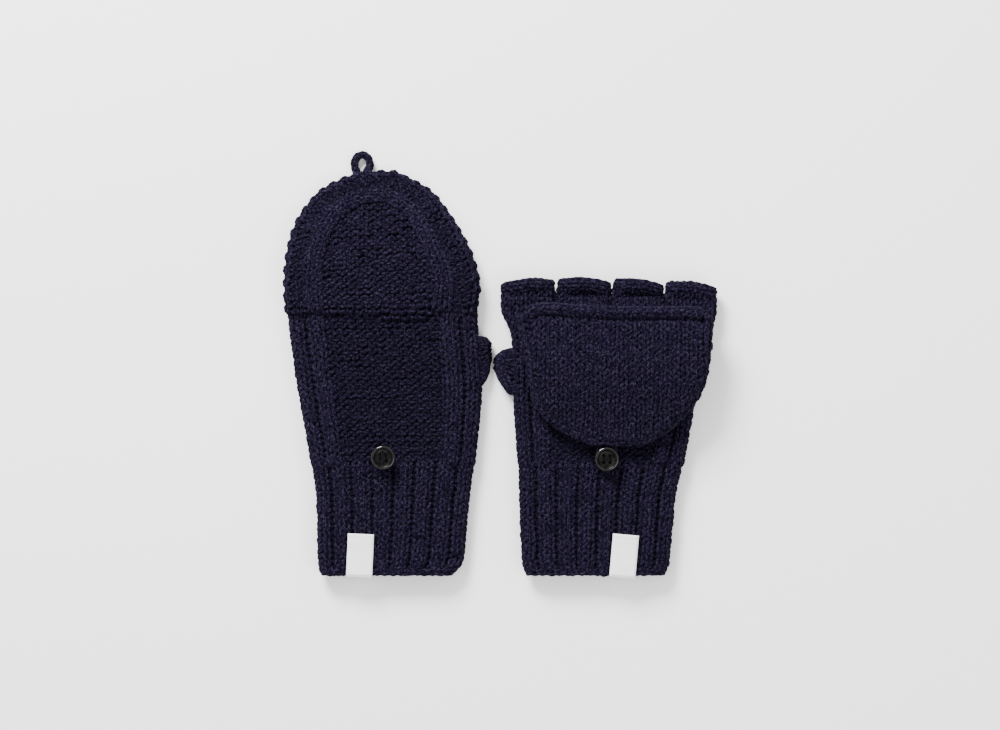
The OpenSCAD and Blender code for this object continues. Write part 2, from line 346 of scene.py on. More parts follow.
def unit(vectors):
    return vectors / (np.linalg.norm(vectors, axis=-1, keepdims=True) + 1e-12)


def run_of(line):
    """Distance along a line of points, at each of them"""
    return np.concatenate([[0], np.cumsum(np.linalg.norm(np.diff(line, axis=0), axis=1))])


def length_of(line):
    return run_of(np.asarray(line, float))[-1]


def squares(rows, columns):
    """Corner numbers of the squares of a grid of points"""
    number = np.arange(rows * columns).reshape(rows, columns)
    corners = number[:-1, :-1], number[:-1, 1:], number[1:, 1:], number[1:, :-1]
    return np.stack(corners, -1).reshape(-1, 4)


def outward_of(place, across, along, face):
    """Surface directions of a cloth, pointing out of it"""
    step = 0.002
    low, down = np.clip(across, step, 1 - step), np.clip(along, step, 1 - step)
    return face * unit(np.cross(place(low + step, along) - place(low - step, along),
                                place(across, down + step) - place(across, down - step)))


def wander(rows, columns, at, size):
    """Slow random drift from stitch to stitch, one line for each row"""
    drift = chance.standard_normal((rows, columns + 1)) * size
    return np.stack([np.interp(at, np.arange(columns + 1), line) for line in drift])


def knit(work, place, columns, rows, face=1, keep=None, relief=0.0004, radius=YARN_RADIUS,
         depth=YARN_DEPTH, lean=0.0, samples=14, sides=8, fibres=0):
    """Knits rows of interlocked loops over the cloth place(across, along), both 0 to 1.
    columns is a list of (sign, width): 1 is a plain column, -1 a purl one. keep(along) is
    the part of each row that is there"""
    signs, widths = np.array(columns, float).T
    n = len(signs)
    edges = np.concatenate([[0], np.cumsum(widths)]) / widths.sum()
    centres = (edges[1:] + edges[:-1]) / 2
    at = np.linspace(0, n, n * samples + 1)
    turn = 2 * math.pi * at
    middle = np.arange(n) + 0.5
    knots = np.sort(np.concatenate([middle - FLAT_PART, middle + FLAT_PART]))
    sign = np.interp(at, knots, np.repeat(signs, 2))
    level = np.where(widths < NARROW * np.median(widths), -GROOVE_DEPTH, signs * relief)
    raised = np.interp(at, middle, level)
    stitch = at + PINCH * np.sin(2 * turn) + wander(rows, n, at, STITCH_DRIFT)
    slant = PURL_SLANT * np.sin(2 * turn) * (sign < 0)
    row = (np.arange(rows)[:, None] + 0.5 - LOOP_REACH * np.cos(turn) + slant
           + wander(rows, n, at, ROW_DRIFT))
    across = np.clip(np.interp(stitch, np.arange(n + 1), edges), 0.001, 0.999)
    along = row / rows
    along = along + lean / rows * (across - 0.5) * 4 * along * (1 - along)
    high = -np.cos(2 * turn) * depth * sign
    lift = high + raised + wander(rows, n, at, LIFT_DRIFT)
    up = outward_of(place, across, along, face)
    line = place(across, along) + up * lift[..., None]
    # Painted shade: the strand's height in the cloth, 0 deep and dark to 1 on top
    height = np.clip(0.55 + 0.45 * (high + raised) / (depth + relief), 0, 1)
    thick = radius * (1 + wander(rows, n, at, GIRTH_DRIFT))
    kept = [keep((r + 0.5) / rows) if keep else (0, 1) for r in range(rows)]
    for r in range(rows):
        first, last = np.searchsorted(centres, kept[r])
        if last > first:
            part = slice(first * samples, last * samples + 1)
            work.tube(line[r, part], up[r, part], thick[r, part], sides, height[part])
    # The dark sheet of painted shade behind the strands
    shade_sheet(work, place, edges, level - SHADE_SHEET_SINK * radius, rows, face, keep)
    for _ in range(fibres):
        r, k = chance.integers(rows), chance.integers(samples, len(at) - samples)
        if kept[r][0] < across[r, k] < kept[r][1]:
            stray(work, line[r, k], up[r, k], radius)


def shade_sheet(work, place, edges, level, rows, face, keep):
    """A dark sheet of painted shade a little behind the strands, which closes the gaps between
    them where there would only be shade
    """
    n = len(level)
    a, v = np.meshgrid(np.linspace(0, 1, n * 2 + 1), np.linspace(0, 1, rows * 2 + 1))
    base = np.interp(np.interp(a, edges, np.arange(n + 1)), np.arange(n) + 0.5, level)
    shade_sheet_points = place(a, v) + outward_of(place, a, v, face) * base[..., None]
    quads = squares(*a.shape)[:, ::face]
    if keep:
        middle = (a[:-1, :-1] + a[1:, 1:]).ravel() / 2
        limits = np.array([keep(x) for x in (v[:-1, 0] + v[1:, 0]) / 2]).repeat(n * 2, 0)
        quads = quads[(middle > limits[:, 0]) & (middle < limits[:, 1])]
    if len(quads):
        # Depth 0 all over, so the sheet takes the wool's darkest painted shade
        work.add(shade_sheet_points, np.zeros(a.size), quads, np.zeros((len(quads), 4, 2)))


def stray(work, root, up, radius):
    """One loose fibre that curls off the yarn, painted pale as a highlight"""
    heading = unit(np.cross(up, chance.standard_normal(3)))
    bend = np.cross(up, heading) * chance.uniform(-0.8, 0.8)
    t = np.linspace(0, 1, 7)[:, None]
    reach = min(FIBRE_LENGTH, radius * 6) * chance.uniform(0.5, 1.3)
    line = (root + up * (radius * 0.8 + np.sin(math.pi * t) * reach * 0.16)
            + heading * t * reach + bend * t * t * reach)
    if line[:, 2].min() >= 0.0004:
        # Depth 2 gives the fibre the wool's painted highlight
        work.tube(line, np.tile(up, (7, 1)), FIBRE_RADIUS, 3, np.full(7, 2.0))


def turned_over(points):
    """The right cap's points, as it lies, where they would be if it were closed, or back"""
    joint = next(j for j in record["behaviour"]["joints"] if j["name"] == "right_cap_flip")
    _, hinge_y, hinge_z = joint["pos_m"]
    x, y, z = np.moveaxis(np.asarray(points, float), -1, 0)
    return np.stack([x, 2 * hinge_y - y, 2 * hinge_z - z], -1)


def sections(node, turned=False):
    """Each section of a CAD node across the mitten: y, lowest x, highest x, lowest z, highest z"""
    points = np.array([v.co for v in frame["nodes"][node].data.vertices])
    if turned:
        points = turned_over(points)
    found = []
    for y in np.unique(np.round(points[:, 1], 4)):
        ring = points[abs(points[:, 1] - y) < 2e-4]
        if len(ring) > 8:
            (x_low, z_low), (x_high, z_high) = (f(ring, 0)[[0, 2]] for f in (np.min, np.max))
            found.append([y, x_low, x_high, z_low, z_high])
    return np.array(found).T


def eased(at, table, column):
    """A section's value at any y, with the corners between sections softened"""
    k = 0.004
    y, values = table[0], table[column]
    return (np.interp(at - k, y, values) + 2 * np.interp(at, y, values)
            + np.interp(at + k, y, values)) / 4


def bowed(c, square):
    """Height of a flattened tube's half, with c from -1 to 1 across it. Square 2 is round"""
    return np.maximum(0, 1 - abs(c) ** square) ** (1 / square)


def half_tube(table, top, start, end, square, inset, floor=None):
    """The upper or lower cloth of a flattened sleeve, from its sections: start is a y, and end
    a y or a function of the place across"""
    c = -np.cos(np.linspace(0, math.pi, 241))
    bow = bowed(c, square)
    wide = (table[2] - table[1]).mean() / 2
    tall = (table[4] - table[3]).mean()
    run = run_of(np.stack([c * wide, bow * tall], -1))

    def place(across, along):
        high = end(across) if callable(end) else end
        y = start + (high - start) * along
        left, right = eased(y, table, 1) + inset, eased(y, table, 2) - inset
        z_low, z_high = eased(y, table, 3), eased(y, table, 4)
        share = np.interp(across, run / run[-1], c)
        x = (left + right) / 2 + (right - left) / 2 * share
        edge, outer = (z_low, z_high - inset) if top else (z_high, z_low + inset)
        if floor:
            outer = np.maximum(outer, floor(x, y) + inset)
        z = edge + (outer - edge) * np.interp(across, run / run[-1], bow)
        return np.stack([x, y, z], -1)

    return place


def split_sections(table):
    """A whole tube's sections cut at mid height, as its upper and its lower half"""
    middle = (table[3] + table[4]) / 2
    return (np.array([table[0], table[1], table[2], middle, table[4]]),
            np.array([table[0], table[1], table[2], table[3], middle]))


def round_line(line, radius, up=(0, 0, 1), flat=1.0, scale=1.0):
    """The surface of an oval cord round a line of points"""
    line = np.asarray(line, float)
    run = run_of(line) / length_of(line)
    tangent = unit(np.gradient(line, axis=0))
    aside = unit(np.cross(np.asarray(up, float), tangent))
    rise = np.cross(tangent, aside)

    def at(values, along):
        return np.stack([np.interp(along, run, values[:, i]) for i in range(3)], -1)

    def place(across, along):
        angle = 2 * math.pi * across
        return (at(line, along) + radius * scale * np.cos(angle)[..., None] * at(aside, along)
                + radius * scale * flat * np.sin(angle)[..., None] * at(rise, along))

    return place


wool = dye_wool()
RIB_FRONT = ([(1, 1), (1, 1), (-1, RIB_GROOVE)] * 8)[:23]
RIB_PALM = [(-1, RIB_GROOVE), (1, 1), (1, 1)] * 7 + [(-1, RIB_GROOVE)]
for side in ("left", "right"):
    cuff = Knitting()
    table = sections(f"{side}_cuff")
    table[1:3, 1] += CORNER_ROUNDING * (table[1:3, 2] - table[1:3, 1])
    corner = (table[:, 1:3].mean(1)
              + (table[:, 2] - table[:, 1]) * [0, CORNER_ROUNDING, CORNER_ROUNDING, 0, 0])
    low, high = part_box(f"{side}_cuff")
    halves = [half_tube(half, top, low.y + CUFF_START, high.y + CUFF_END, TUBE_SQUARE, CUFF_INSET)
              for half, top in zip(split_sections(np.insert(table, 2, corner, axis=1)),
                                   (True, False))]
    knit(cuff, halves[0], RIB_FRONT, CUFF_ROWS, relief=0.0007, fibres=60)
    knit(cuff, halves[1], RIB_PALM, CUFF_ROWS, face=-1, relief=0.0007, samples=12, sides=6)
    sweep = np.linspace(0, 1, 60)
    rim = np.concatenate([halves[0](sweep, np.zeros(60)), halves[1](sweep[::-1], np.zeros(60))])
    knit(cuff, round_line(np.concatenate([rim, rim[:1]]), RIM_RADIUS, up=(0, 1, 0)),
         [(1, 1), (1, 1)], int(length_of(rim) / RIM_STITCH), radius=0.0011, depth=0.0005,
         relief=0, samples=10, sides=6)
    cuff.become(f"{side}_cuff_knit", f"{side}_hand", wool, "knit", f"{side}_cuff")


# The hands. Each back goes on from the cuff's outer ribs: two plain columns at the edge, a
# groove, two plain columns as a raised band, and a purl panel between the bands. The palm is
# plain knitting, drawn up where the folded thumb and the cap's lip lie under it.
HAND_ROWS = 24
HAND_INSET = 0.0021
BACK_COLUMNS = ([(1, 1), (1, 1), (-1, 0.4), (1, 1), (1, 1)] + [(-1, 1.03)] * 13
                + [(1, 1), (1, 1), (-1, 0.4), (1, 1), (1, 1)])
BACK_LEAN = 0.8
PALM_COLUMNS = 21
PALM_CLEAR = 0.008


def ramp(t):
    """0 below 0 and 1 above 1, smooth between"""
    t = np.clip(t, 0, 1)
    return t * t * (3 - 2 * t)


for side in ("left", "right"):
    back = Knitting()
    table = sections(f"{side}_hand_back")
    low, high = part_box(f"{side}_hand_back")
    knit(back, half_tube(table, True, low.y, high.y + 0.0006, TUBE_SQUARE, HAND_INSET),
         BACK_COLUMNS, HAND_ROWS, relief=0.0009, lean=BACK_LEAN, fibres=90)
    back.become(f"{side}_hand_back_knit", f"{side}_hand", wool, "knit", f"{side}_hand_back")

    thumb_low, thumb_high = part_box(f"{side}_thumb")
    lip_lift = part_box(f"{side}_finger_index")[0].z - 0.0001

    def above_thumb(x, y, low=thumb_low, high=thumb_high, edge=high.y, lift=lip_lift):
        """Lowest z of the palm, over the folded thumb and over the lip of a closed cap"""
        beside = (ramp((x - low.x + PALM_CLEAR) / PALM_CLEAR)
                  * ramp((high.x + PALM_CLEAR - x) / PALM_CLEAR)
                  * ramp((y - low.y + 0.009) / 0.007) * ramp((high.y + 0.008 - y) / 0.006))
        return np.maximum((high.z + 0.0002) * beside, lift * ramp((y - edge + 0.017) / 0.007))

    palm = Knitting()
    table = sections(f"{side}_hand_palm")
    knit(palm, half_tube(table, False, low.y, high.y + 0.0012, TUBE_SQUARE, HAND_INSET,
                         above_thumb),
         [(1, 1)] * PALM_COLUMNS, HAND_ROWS, face=-1, samples=12, sides=6)
    palm.become(f"{side}_hand_palm_knit", f"{side}_hand", wool, "knit", f"{side}_hand_palm")


# The thumbs. Each is a short closed sleeve of plain knitting, folded flat under the palm at
# its root, so that only the rounded fold shows past the side of the hand. It is knitted on
# from a gusset, a small tongue of the palm that stays with the hand when the thumb turns.
THUMB_INSET = 0.0017
THUMB_ROWS = 14
THUMB_COLUMNS = 7
THUMB_SQUARE = 3
THUMB_ROUND = 0.004
GUSSET_HEIGHT, GUSSET_DROP, GUSSET_THICK = 0.0078, 0.0022, 0.0007
GUSSET_EDGE = 0.003
GUSSET_ROW = 0.0036
THUMB_TIP = ([14, 28, 37, 43, 47, 50.9], [14.7, 14.2, 13.2, 11, 7.4, 1.8])
THUMB_TOP = {"left": ([0, 1, 3, 7], [10.8, 12.6, 14.4, 14.7]),
             "right": ([0, 2.7, 5, 10], [8.4, 11.4, 13.2, 14.7])}
THUMB_FOOT = {"left": ([0, 1, 2, 3.6, 6], [1.5, -4.6, -9.4, -13.6, -16.5]),
              "right": ([0, 1.2, 2.7, 5, 9.5], [1.6, -1.0, -4.0, -8.6, -14.7])}
for side, heading in (("left", -1), ("right", 1)):
    low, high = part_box(f"{side}_thumb")
    length = high.x - low.x
    root = high.x if heading < 0 else low.x
    centre_y, centre_z = (low.y + high.y) / 2, (low.z + high.z) / 2
    half_height = (high.z - low.z) / 2
    bounds = [np.array(part[side]) for part in (THUMB_TOP, THUMB_FOOT)]
    bounds = [np.concatenate([part, np.array(THUMB_TIP) * [[1], [sign]]], 1)
              for part, sign in zip(bounds, (1, -1))]

    hand_side = eased(centre_y, sections(f"{side}_hand_back"), 2 if heading < 0 else 1)
    deep = abs(root - hand_side) + 0.004

    def side_to_side(across, far):
        """y across the sleeve and how full it is there, at a distance from the root"""
        upper, lower = (np.interp(far * 1000, *part) / 1000 for part in bounds)
        upper, lower = upper - THUMB_INSET, lower + THUMB_INSET
        c = -np.cos(math.pi * across)
        y = centre_y + (upper + lower) / 2 - heading * (upper - lower) / 2 * c
        return y, bowed(c, THUMB_SQUARE)

    def thumb_cloth(face):
        def place(across, along):
            far = along * length
            y, bow = side_to_side(across, far)
            past = np.clip(1 - np.minimum(far, length - far) / THUMB_ROUND, 0, 1)
            tall = (half_height - THUMB_INSET) * np.sqrt(np.maximum(1 - past ** 2, 0.02))
            shift = np.clip(far, THUMB_INSET, length - THUMB_INSET)
            return np.stack([root + heading * shift, y, centre_z + face * tall * bow], -1)
        return place

    def gusset_cloth(face):
        def place(across, along):
            far = THUMB_INSET + (deep - THUMB_INSET) * along
            y, bow = side_to_side(across, far)
            outer = np.exp(-(far - THUMB_INSET) / GUSSET_EDGE)
            z = (GUSSET_HEIGHT - GUSSET_DROP * outer
                 + face * GUSSET_THICK * bow * (1 - 0.8 * outer))
            return np.stack([root + heading * far, y, z], -1)
        return place

    for name, body, cloth, rows, nodes in (
            ("thumb_knit", "thumb", thumb_cloth, THUMB_ROWS, [f"{side}_thumb"]),
            ("thumb_gusset_knit", "hand", gusset_cloth, int(deep / GUSSET_ROW), [])):
        thumb = Knitting()
        for face in (1, -1):
            knit(thumb, cloth(face), [(1, 1)] * THUMB_COLUMNS, rows, face=face, depth=0.0005,
                 radius=0.00112, relief=0, samples=12, sides=6)
        thumb.become(f"{side}_{name}", f"{side}_{body}", wool, "knit", *nodes)


# The finger sleeves. Four short open tubes of plain knitting on each hand, cast off with a
# thick rolled edge round the mouth. On the right hand the mouths slope towards their neighbours.
FINGER_ROWS = 6
FINGER_COLUMNS = 7
FINGER_INSET = 0.0017
FINGER_SQUARE = 3
MOUTH_SLOPE = {"right_finger_index": (0.0024, 0), "right_finger_middle": (0, 0.0022),
               "right_finger_ring": (0, 0.0040), "right_finger_little": (0, 0.0034)}
MOUTH_SET_BACK = 0.0022
FLARE = {"right_finger_index": (0.0062, 0), "right_finger_little": (0, -0.0025)}
FLARE_LENGTH = 0.0085
ROLL_RADIUS, ROLL_FLAT = 0.0029, 0.48
ROLL_AT = 0.93
NECK = {"right_finger_middle": 0.0030, "right_finger_ring": 0.0030}
NECK_FROM_MOUTH, NECK_WIDTH = 0.0094, 0.0034
for side in ("left", "right"):
    for finger in ("index", "middle", "ring", "little"):
        node = f"{side}_finger_{finger}"
        low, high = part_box(node)
        table = sections(node)
        if node in FLARE:
            base = table[:, 0] + [-FLARE_LENGTH, *FLARE[node], 0, 0]
            table = np.concatenate([base[:, None], table], 1)
        slope = MOUTH_SLOPE.get(node, (0, 0))
        neck = NECK.get(node, 0.0014)
        top = high.y - MOUTH_SET_BACK
        shown = dict(samples=14, sides=8) if side == "right" else dict(samples=10, sides=6)

        def mouth(across):
            return (top - slope[0] * (1 - across) - slope[1] * across
                    - 0.0018 * abs(2 * across - 1) ** 6 - 0.0005 * np.sin(9 * across))

        def necked(cloth, face):
            """The cloth drawn in a little below its rolled mouth"""
            def place(across, along):
                points = cloth(across, along)
                below = (top - points[..., 1] - NECK_FROM_MOUTH) / NECK_WIDTH
                points[..., 2] -= face * neck * np.exp(-below ** 2) * np.sin(math.pi * across)
                return points
            return place

        sleeve = Knitting()
        cloths = [necked(half_tube(half, face > 0, table[0, 0] - 0.001, mouth, FINGER_SQUARE,
                                   FINGER_INSET), face)
                  for half, face in zip(split_sections(table), (1, -1))]
        for cloth, face in zip(cloths, (1, -1)):
            knit(sleeve, cloth, [(1, 1)] * FINGER_COLUMNS, FINGER_ROWS, face=face, **shown)
        sweep = np.linspace(0.01, 0.99, 30)
        rim = np.concatenate([cloth(at, np.full(30, ROLL_AT))
                              for cloth, at in zip(cloths, (sweep, sweep[::-1]))])
        knit(sleeve, round_line(np.concatenate([rim, rim[:1]]), ROLL_RADIUS, up=(0, 1, 0),
                                flat=1 / ROLL_FLAT, scale=ROLL_FLAT),
             [(1, 1)] * 4, int(length_of(rim) / RIM_STITCH), radius=0.00115, depth=0.0004,
             relief=0, samples=10, sides=6)
        piece = sleeve.become(f"{node}_knit", f"{side}_hand", wool, "knit", node)
        if node == "right_finger_index":
            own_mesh(piece)
        if node == "right_finger_little":
            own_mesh(piece)


# The cap seams. One grafted row in the same wool joins each cap to the knuckle end of the
# hand's back, stitch for stitch; the left one pulls in a little along its outer half.
SEAM_PULL = {"left": 0.0021, "right": 0}
for side in ("left", "right"):
    seam = Knitting()
    low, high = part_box(f"{side}_cap_seam")
    table = sections(f"{side}_hand_back")
    row = half_tube(table, True, low.y, high.y + 0.0014, TUBE_SQUARE, HAND_INSET)
    rise = (high.z - table[4].max()) * 0.45

    def grafted(across, along):
        points = row(across, along)
        pull = ramp((across - 0.16) / 0.05) * ramp((0.52 - across) / 0.06) * SEAM_PULL[side]
        points[..., 2] += rise * np.sin(math.pi * across) - pull
        return points

    knit(seam, grafted, BACK_COLUMNS, 1, relief=0.0006)
    seam.become(f"{side}_cap_seam_row", f"{side}_hand", wool, "knit", f"{side}_cap_seam")


# The caps. A flip-over mitten top: the back has two plain columns as a band that follows its
# outline over the tip, purl knitting on both sides of the band, and a scalloped edge; the palm
# face is plain knitting inside a chain edge, and ends in a lip whose cast-off edge rolls over.
CAP_INSET = 0.0021
ROLL_LINE = ([0, 0.03, 0.08, 0.14, 0.3, 0.5, 0.9, 0.96, 1],
             [0.0062, 0.0036, 0.0022, 0.0020, 0.0034, 0.0046, 0.0042, 0.0048, 0.0068])
ROLL_VALLEY = 0.0032
ROLL_VALLEY_AT, ROLL_VALLEY_WIDTH = 0.0046, 0.0023
ROLL_HEIGHT = 0.0031
CAP_ROUND = 0.0050
CAP_ARC = math.pi / 2 * (CAP_ROUND + 0.0055) / 2
CAP_SIDE = 0.004
BULGE, BULGE_Y, BULGE_SPREAD = 0.0040, 0.074, 0.015
SCALLOP = 0.0006
STITCH = 0.0051
BACK_ROW = 0.0039
PLAIN_ROW = 0.0035
LIP_ROWS = 8
CAP_LEAN = 1.6
BACK_BORDER = [(1, 5.2), (-1, 4.6), (-1, 4.6), (1, 5.0), (1, 5.0)]
FRONT_BORDER = [(1, 5.6), (-1, 1.8)]
LADDER_BORDER = [(1, 5.6), (-1, 5.2)]


class CapShape:
    """Outline and heights of a closed cap, from its CAD nodes"""

    def __init__(self, side):
        self.side, self.turned = side, side == "right"
        back = sections(f"{side}_cap_back", self.turned)
        front = sections(f"{side}_cap_palm", self.turned)
        if self.turned:
            back[2] += BULGE * np.exp(-((back[0] - BULGE_Y) / BULGE_SPREAD) ** 2)
        self.back = back
        self.low = np.concatenate([[[0.02], [0.0]], front[[0, 3]]], 1)
        y = np.arange(back[0, 0] - 0.0008, back[0, -1], 0.0004)
        left = np.stack([eased(y, back, 1), y], -1)
        right = np.stack([eased(y, back, 2), y], -1)[::-1]
        line = np.concatenate([left, right])
        run = run_of(line)
        self.run = np.arange(0, run[-1], 0.001)
        line = np.stack([np.interp(self.run, run, line[:, i]) for i in (0, 1)], -1)
        weights = np.hanning(9) / np.hanning(9).sum()
        soft = np.stack([np.convolve(line[:, i], weights, "same") for i in (0, 1)], -1)
        soft[:5], soft[-5:] = line[:5], line[-5:]
        self.line = soft
        along = unit(np.gradient(self.line, axis=0))
        self.inward = np.stack([along[:, 1], -along[:, 0]], -1)
        self.length = self.run[-1]

    def top(self, y):
        return eased(y, self.back, 4)

    def middle(self, y):
        return eased(y, self.back, 3)

    def bottom(self, y):
        return np.interp(y, self.low[0], self.low[1])

    def settled(self, points):
        return turned_over(points) if self.turned else points

    def rise(self, y, face):
        if face > 0:
            return self.top(y) - self.middle(y) - CAP_INSET
        return self.bottom(y) + CAP_INSET - self.middle(y)

    def border(self, width, start, end, face, scallop=0.0):
        """The cloth along the outline, width wide, from start to end of the way round"""
        def place(across, along):
            s = (start + (end - start) * along) * self.length
            q = across * np.interp(s / self.length, *width)
            angle = np.clip(q / CAP_ARC, 0, 1) * math.pi / 2
            inset = CAP_INSET + CAP_ROUND * (1 - np.cos(angle)) + np.maximum(q - CAP_ARC, 0)
            inset = inset - scallop * np.cos(angle) * np.sin(2 * math.pi * s / (2 * BACK_ROW))
            x, y = (np.interp(s, self.run, self.line[:, i])
                    + inset * np.interp(s, self.run, self.inward[:, i]) for i in (0, 1))
            z = self.middle(y) + self.rise(y, face) * np.sin(angle)
            return self.settled(np.stack([x, y, z], -1))
        return place

    def panel(self, left, right, start, end, face):
        """The flat cloth inside the border"""
        def place(across, along):
            x = left + (right - left) * across
            low = start(x) if callable(start) else start
            y = low + (end - low) * along
            beside = np.minimum(x - eased(y, self.back, 1), eased(y, self.back, 2) - x) - CAP_INSET
            angle = np.arccos(1 - np.clip(beside / CAP_ROUND, 0, 1))
            z = self.middle(y) + self.rise(y, face) * np.sin(angle)
            return self.settled(np.stack([x, y, z], -1))
        return place

    def inner_edge(self, width, under):
        """x of the border's inner edges at a height y, moved under the border a little"""
        width = np.interp(self.run / self.length, *width)
        line = (self.line
                + self.inward * (CAP_INSET + CAP_ROUND + width - CAP_ARC - under)[:, None])
        peak = int(line[:, 1].argmax())
        edges = []
        for edge in (line[:peak + 1], line[peak:][::-1]):
            climbs = np.diff(np.maximum.accumulate(edge[:, 1])) > 0
            edges.append(edge[np.concatenate([[True], climbs])])
        top = line[peak, 1]

        def limits(y):
            return [np.interp(y, edge[:, 1], edge[:, 0]) if y <= top else 0.0 for edge in edges]
        return limits, top


def inside(limits, start, end, left, right):
    """The part of each panel row that lies inside the border"""
    def keep(along):
        return [(x - left) / (right - left) for x in limits(start + (end - start) * along)]
    return keep


SEEN, UNSEEN = dict(samples=14, sides=8), dict(samples=10, sides=6)
BACK_WIDTH, LADDER, CHAIN = (sum(w for _, w in border) / 1000
                             for border in (BACK_BORDER, LADDER_BORDER, FRONT_BORDER))
for side in ("left", "right"):
    shape = CapShape(side)
    is_left = side == "left"
    up = 1 if is_left else -1
    back_seen, front_seen = (SEEN, UNSEEN) if is_left else (UNSEEN, SEEN)
    body = f"{side}_cap"
    y0 = shape.back[0, 0]
    lip_low, lip_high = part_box(f"{side}_cap_lip")
    lip_end = lip_high.y if is_left else turned_over(lip_low)[1]
    x_left = shape.line[:, 0].min() + CAP_SIDE
    x_right = shape.line[:, 0].max() - CAP_SIDE
    count = int(round((x_right - x_left) / STITCH))

    back = Knitting()
    widths = [BACK_WIDTH * k for k in (1, 1, 0.84, 0.84, 1.1, 1.17)][::up]
    reach = ([0, 0.2, 0.42, 0.55, 0.8, 1], widths)
    knit(back, shape.border(reach, 0, 1, 1, scallop=SCALLOP), BACK_BORDER,
         int(shape.length / BACK_ROW), face=1, relief=0.0009, fibres=70 if is_left else 0,
         **back_seen)
    limits, top = shape.inner_edge(reach, 0.0050)
    knit(back, shape.panel(x_left, x_right, y0, top, 1), [(-1, 1)] * count,
         int((top - y0) / BACK_ROW), face=1, keep=inside(limits, y0, top, x_left, x_right),
         lean=CAP_LEAN, relief=0.0004, fibres=60 if is_left else 0, **back_seen)
    back.become(f"{side}_cap_back_knit", body, wool, "knit", f"{side}_cap_back")

    reach = ([0, 0.40, 0.60, 1], [LADDER, LADDER, CHAIN, CHAIN])
    limits, top = shape.inner_edge(reach, 0.0034)
    side_run = np.interp(lip_end, shape.line[:60, 1], shape.run[:60]) / shape.length
    front = Knitting()
    for columns, start, end in ((LADDER_BORDER, side_run, 0.45),
                                (FRONT_BORDER, 0.45, 1 - side_run)):
        knit(front, shape.border(reach, start, end, -1), columns,
             int(shape.length * (end - start) / PLAIN_ROW), face=-1, relief=0.0005,
             fibres=0 if is_left else 25, **front_seen)
    knit(front, shape.panel(x_left, x_right, lip_end, top, -1), [(1, 1)] * count,
         int((top - lip_end) / PLAIN_ROW), face=-1,
         keep=inside(limits, lip_end, top, x_left, x_right), fibres=0 if is_left else 80,
         **front_seen)
    front.become(f"{side}_cap_palm_knit", body, wool, "knit", f"{side}_cap_palm")

    roll_low, roll_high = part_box(f"{side}_cap_roll")
    if shape.turned:
        ends = turned_over([tuple(roll_low), tuple(roll_high)])
        roll_low, roll_high = Vector(ends.min(0)), Vector(ends.max(0))

    def roll_y(x):
        share = (x - roll_low.x) / (roll_high.x - roll_low.x)
        return roll_low.y + np.interp(share, *ROLL_LINE)

    lip = Knitting()
    for columns, start, end in ((LADDER_BORDER, 0.0, side_run), (FRONT_BORDER, 1 - side_run, 1.0)):
        knit(lip, shape.border(reach, start, end, -1), columns,
             int(shape.length * side_run / PLAIN_ROW), face=-1, relief=0.0005, **front_seen)
    flat_lip = shape.panel(x_left, x_right, roll_y, lip_end, -1)

    def sunk_lip(across, along):
        """The lip with a valley beside its rolled edge"""
        points = flat_lip(across, along)
        near = (lip_end - roll_y(points[..., 0])) * along - ROLL_VALLEY_AT
        points[..., 2] += up * ROLL_VALLEY * np.exp(-(near / ROLL_VALLEY_WIDTH) ** 2)
        return points

    knit(lip, sunk_lip, [(1, 1)] * count, LIP_ROWS, face=-1,
         keep=inside(limits, y0, lip_end, x_left, x_right), fibres=0 if is_left else 30,
         **front_seen)
    lip.become(f"{side}_cap_lip_knit", body, wool, "knit", f"{side}_cap_lip")

    x = np.linspace(roll_low.x + 0.002, roll_high.x - 0.002, 60)
    line = np.stack([x, roll_y(x), np.full(60, ROLL_HEIGHT)], -1)
    roll = Knitting()
    knit(roll, round_line(shape.settled(line), 0.0021, up=(0, 0, up), flat=0.8), [(1, 1)] * 3,
         int(length_of(line) / 0.0050), radius=0.00125, depth=0.0005, relief=0, samples=12,
         sides=8)
    roll.become(f"{side}_cap_roll_knit", body, wool, "knit", f"{side}_cap_roll")


# The button loops. Each is a short crocheted cord of the same wool. The left one stands up
# from the cap's tip; the right one is slipped over its button and lies round the shank.
CORD_STITCH = 0.0040
LEFT_LEAN = 0.0004
LEFT_TALL = 1.15
LEFT_FEET = (-0.0026, 0.0022)
low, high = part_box("left_button_loop")
centre = (low.x + high.x) / 2
spread = (high.x - low.x) / 2 - 0.0021
turn = np.linspace(math.pi + 0.3, -0.3, 30)
tall = spread * LEFT_TALL
arch = np.stack([centre + LEFT_LEAN + spread * 0.95 * np.cos(turn),
                 high.y - 0.0022 - tall + tall * np.sin(turn), np.full(30, 0.0030)], -1)
legs = np.array([[centre + foot, low.y - 0.0025, 0.0036] for foot in LEFT_FEET])
loop_line = np.concatenate([legs[:1], arch, legs[1:]])
loop = Knitting()
knit(loop, round_line(loop_line, 0.0013), [(1, 1)] * 3, int(length_of(loop_line) / CORD_STITCH),
     radius=0.00100, depth=0.0003, relief=0, samples=12, sides=8)
loop.become("left_button_loop_cord", "left_loop", wool, "knit", "left_button_loop")

